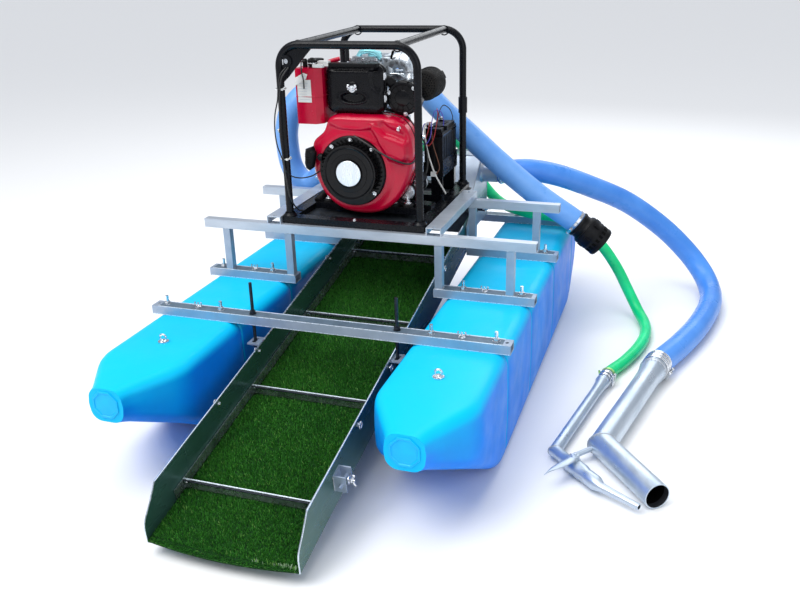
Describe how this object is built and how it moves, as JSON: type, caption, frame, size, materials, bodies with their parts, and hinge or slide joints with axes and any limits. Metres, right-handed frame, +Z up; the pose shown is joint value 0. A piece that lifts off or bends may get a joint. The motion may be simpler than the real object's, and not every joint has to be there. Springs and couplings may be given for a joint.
{
  "type": "sluice box",
  "caption": "Twin-float suction dredge: a turf-lined sluice box with riffle bars slung between two moulded floats, with an engine pump in a tube cage, hoses and a jet nozzle.",
  "frame": {"origin": "on the ground under the middle of the dredge's length and width, floats standing on z = 0, hoses and nozzle left out", "axes": "+X to the right seen from the sluice's lip, where the nozzle lies; +Y from the lip towards the header box; +Z up"},
  "size_m": [1.7399, 2.2684, 1.142],
  "materials": {
    "float_blue": "satin moulded polyethylene",
    "plug_blue": "satin",
    "bright_steel": "bright plated",
    "galv": "galvanised, satin",
    "deck_grey": "dull sheet",
    "black_paint": "semi-gloss black",
    "black_rubber": "matte",
    "cast_alloy": "cast, matte",
    "red_paint": "gloss red",
    "black_gloss": "gloss black",
    "iron": "rough",
    "black_plastic": "matte",
    "white_cable": "matte",
    "pump_blue": "semi-gloss",
    "bronze": "cast",
    "sheet": "bare sheet",
    "sheet_green": "bare sheet, wet",
    "turf": "short synthetic turf",
    "black_steel": "black finish",
    "hose_pale": "lay-flat and wire-wound hose, satin",
    "hose_blue": "smooth, satin",
    "hose_green": "smooth, satin",
    "nozzle_metal": "brushed"
  },
  "bodies": {
    "float_frame": {"float_left": "float_blue", "float_right": "float_blue", "drain_plugs": "plug_blue", "float_eyes": "bright_steel", "beam_front": "galv", "beams_middle": "galv", "beams_third": "galv", "beam_rear": "galv", "beam_bolts": "bright_steel", "legs_front": "galv", "legs_rear": "galv", "rail_front": "galv", "rail_rear": "galv", "deck_channels": "galv", "deck_plate": "deck_grey", "cage_front": "black_paint", "cage_rear": "black_paint", "cage_side_tubes": "black_paint", "cage_base": "black_paint", "rubber_mounts": "black_rubber", "crankcase": "cast_alloy", "cylinder_head": "cast_alloy", "fan_shroud": "red_paint", "recoil_cover": "black_gloss", "air_cleaner": "black_plastic", "intake_housing": "black_gloss", "muffler": "black_paint", "exhaust_elbow": "bright_steel", "fuel_tank": "red_paint", "injection_pump": "cast_alloy", "switch_gusset": "black_paint", "battery": "black_plastic", "battery_bracket": "black_paint", "battery_cable": "white_cable", "pump_casing": "pump_blue", "suction_pipe": "black_rubber", "header_box": "sheet", "hanger_rods": "black_steel", "intake_hose": "hose_pale", "suction_hose": "hose_blue", "pressure_hose": "hose_green", "foot_valve": "black_plastic", "suction_nozzle": "nozzle_metal", "jet_tube": "nozzle_metal"},
    "sluice": {"sluice_tray": "sheet_green", "tray_lugs": "galv"},
    "nuts": {"hanger_nuts": "black_steel"},
    "riffles": {"riffle_frame": "bright_steel"},
    "mat": {"turf_mat": "turf"},
    "rotor": {"crankshaft": "bright_steel", "flywheel_fan": "iron", "pump_impeller": "bronze"},
    "starter_pulley": {"recoil_pulley": "black_plastic"},
    "starter_grip": {"recoil_handle": "black_plastic"},
    "filter_nut": {"air_cleaner_nut": "bright_steel"},
    "tank_cap": {"fuel_cap": "black_plastic"},
    "throttle": {"throttle_lever": "bright_steel"},
    "key": {"switch_key": "bright_steel"},
    "lever": {"jet_lever": "nozzle_metal"},
    "flapper": {"foot_flapper": "black_rubber"}
  },
  "joints": [
    {"name": "sluice_tilt", "type": "hinge", "parent": "float_frame", "child": "sluice", "pos_m": [0, 0.453, 0.395], "axis": [1, 0, 0], "range_deg": [-2.5, 1.2]},
    {"name": "nut_travel", "type": "slide", "parent": "float_frame", "child": "nuts", "axis": [0, 0, 1], "range_m": [-0.019, 0.039]},
    {"name": "riffle_lift", "type": "slide", "parent": "sluice", "child": "riffles", "axis": [0, -0.1805, 0.9836], "range_m": [0, 0.12]},
    {"name": "mat_lift", "type": "slide", "parent": "sluice", "child": "mat", "axis": [0, -0.1805, 0.9836], "range_m": [0, 0.06]},
    {"name": "engine_shaft", "type": "hinge", "parent": "float_frame", "child": "rotor", "pos_m": [-0.058, 0.198, 0.722], "axis": [0, 1, 0], "continuous": true},
    {"name": "recoil_wind", "type": "hinge", "parent": "float_frame", "child": "starter_pulley", "pos_m": [-0.058, -0.006, 0.722], "axis": [0, -1, 0], "range_deg": [0, 166]},
    {"name": "recoil_pull", "type": "slide", "parent": "float_frame", "child": "starter_grip", "axis": [-1, 0, 0], "range_m": [0, 0.13]},
    {"name": "filter_nut_turn", "type": "hinge", "parent": "float_frame", "child": "filter_nut", "pos_m": [-0.058, 0.038, 0.983], "axis": [0, 1, 0], "range_deg": [0, 360]},
    {"name": "cap_turn", "type": "hinge", "parent": "float_frame", "child": "tank_cap", "pos_m": [-0.203, 0.093, 1.058], "axis": [0, 0, 1], "range_deg": [0, 90]},
    {"name": "throttle_swing", "type": "hinge", "parent": "float_frame", "child": "throttle", "pos_m": [0.062, 0.254, 0.746], "axis": [1, 0, 0], "range_deg": [-30, 30]},
    {"name": "key_turn", "type": "hinge", "parent": "float_frame", "child": "key", "pos_m": [-0.235, -0.062, 1.08], "axis": [0, 1, 0], "range_deg": [0, 90]},
    {"name": "jet_valve", "type": "hinge", "parent": "float_frame", "child": "lever", "pos_m": [0.768, -0.459, 0.059], "axis": [0, 0, 1], "range_deg": [-45, 0]},
    {"name": "flapper_swing", "type": "hinge", "parent": "float_frame", "child": "flapper", "pos_m": [0.68058, 0.61306, 0.40155], "axis": [-0.0995, 0.995, 0], "range_deg": [0, 30]}
  ],
  "couplings": [
    {"joint": "nut_travel", "follows": "sluice_tilt", "m_per_rad": -0.8825},
    {"joint": "mat_lift", "follows": "riffle_lift", "ratio": 0.5},
    {"joint": "recoil_wind", "follows": "recoil_pull", "rad_per_m": 22.222}
  ]
}
